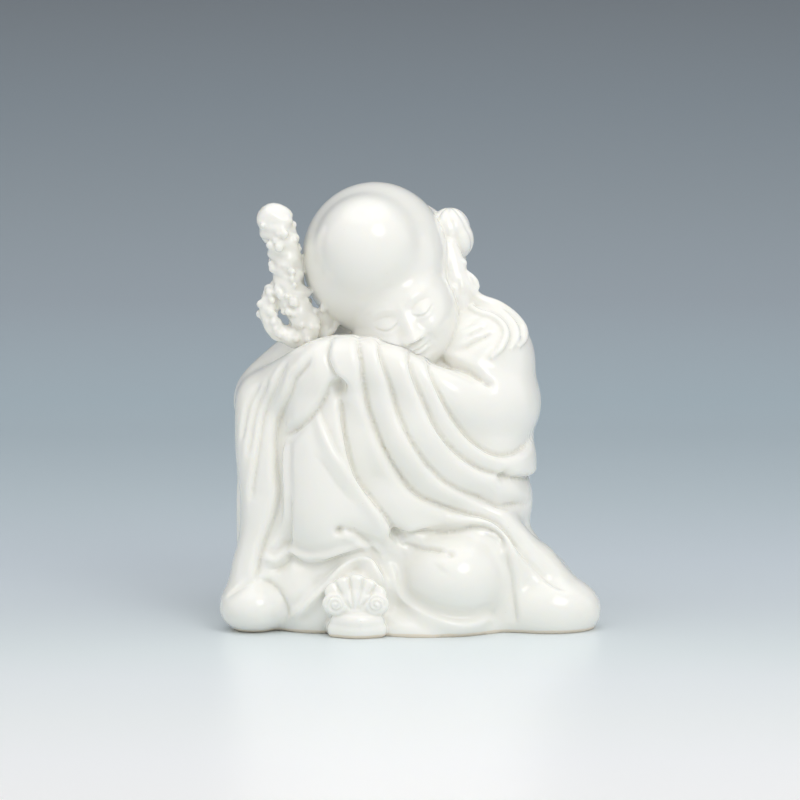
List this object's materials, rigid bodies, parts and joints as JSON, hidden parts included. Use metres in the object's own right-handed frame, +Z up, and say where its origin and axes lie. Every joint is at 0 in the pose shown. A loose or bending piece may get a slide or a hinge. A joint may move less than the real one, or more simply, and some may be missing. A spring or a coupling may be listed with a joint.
{
  "type": "shoulao figure",
  "caption": "Porcelain figure of the longevity deity Shoulao asleep, seated with his high-domed head on folded sleeves over a raised knee and a gnarled staff beside him.",
  "frame": {"origin": "centre of the figure's bounding box in plan, on the ground plane under its flat foot", "axes": "+Z up, -Y towards the front where the face, sleeves and shoe are, +X to the viewer's right"},
  "size_m": [0.1036, 0.0756, 0.1199],
  "materials": {
    "glaze": "thick glossy warm-white glaze on porcelain, slightly translucent"
  },
  "bodies": {
    "root": {"shoulao_figure": "glaze"}
  },
  "joints": []
}
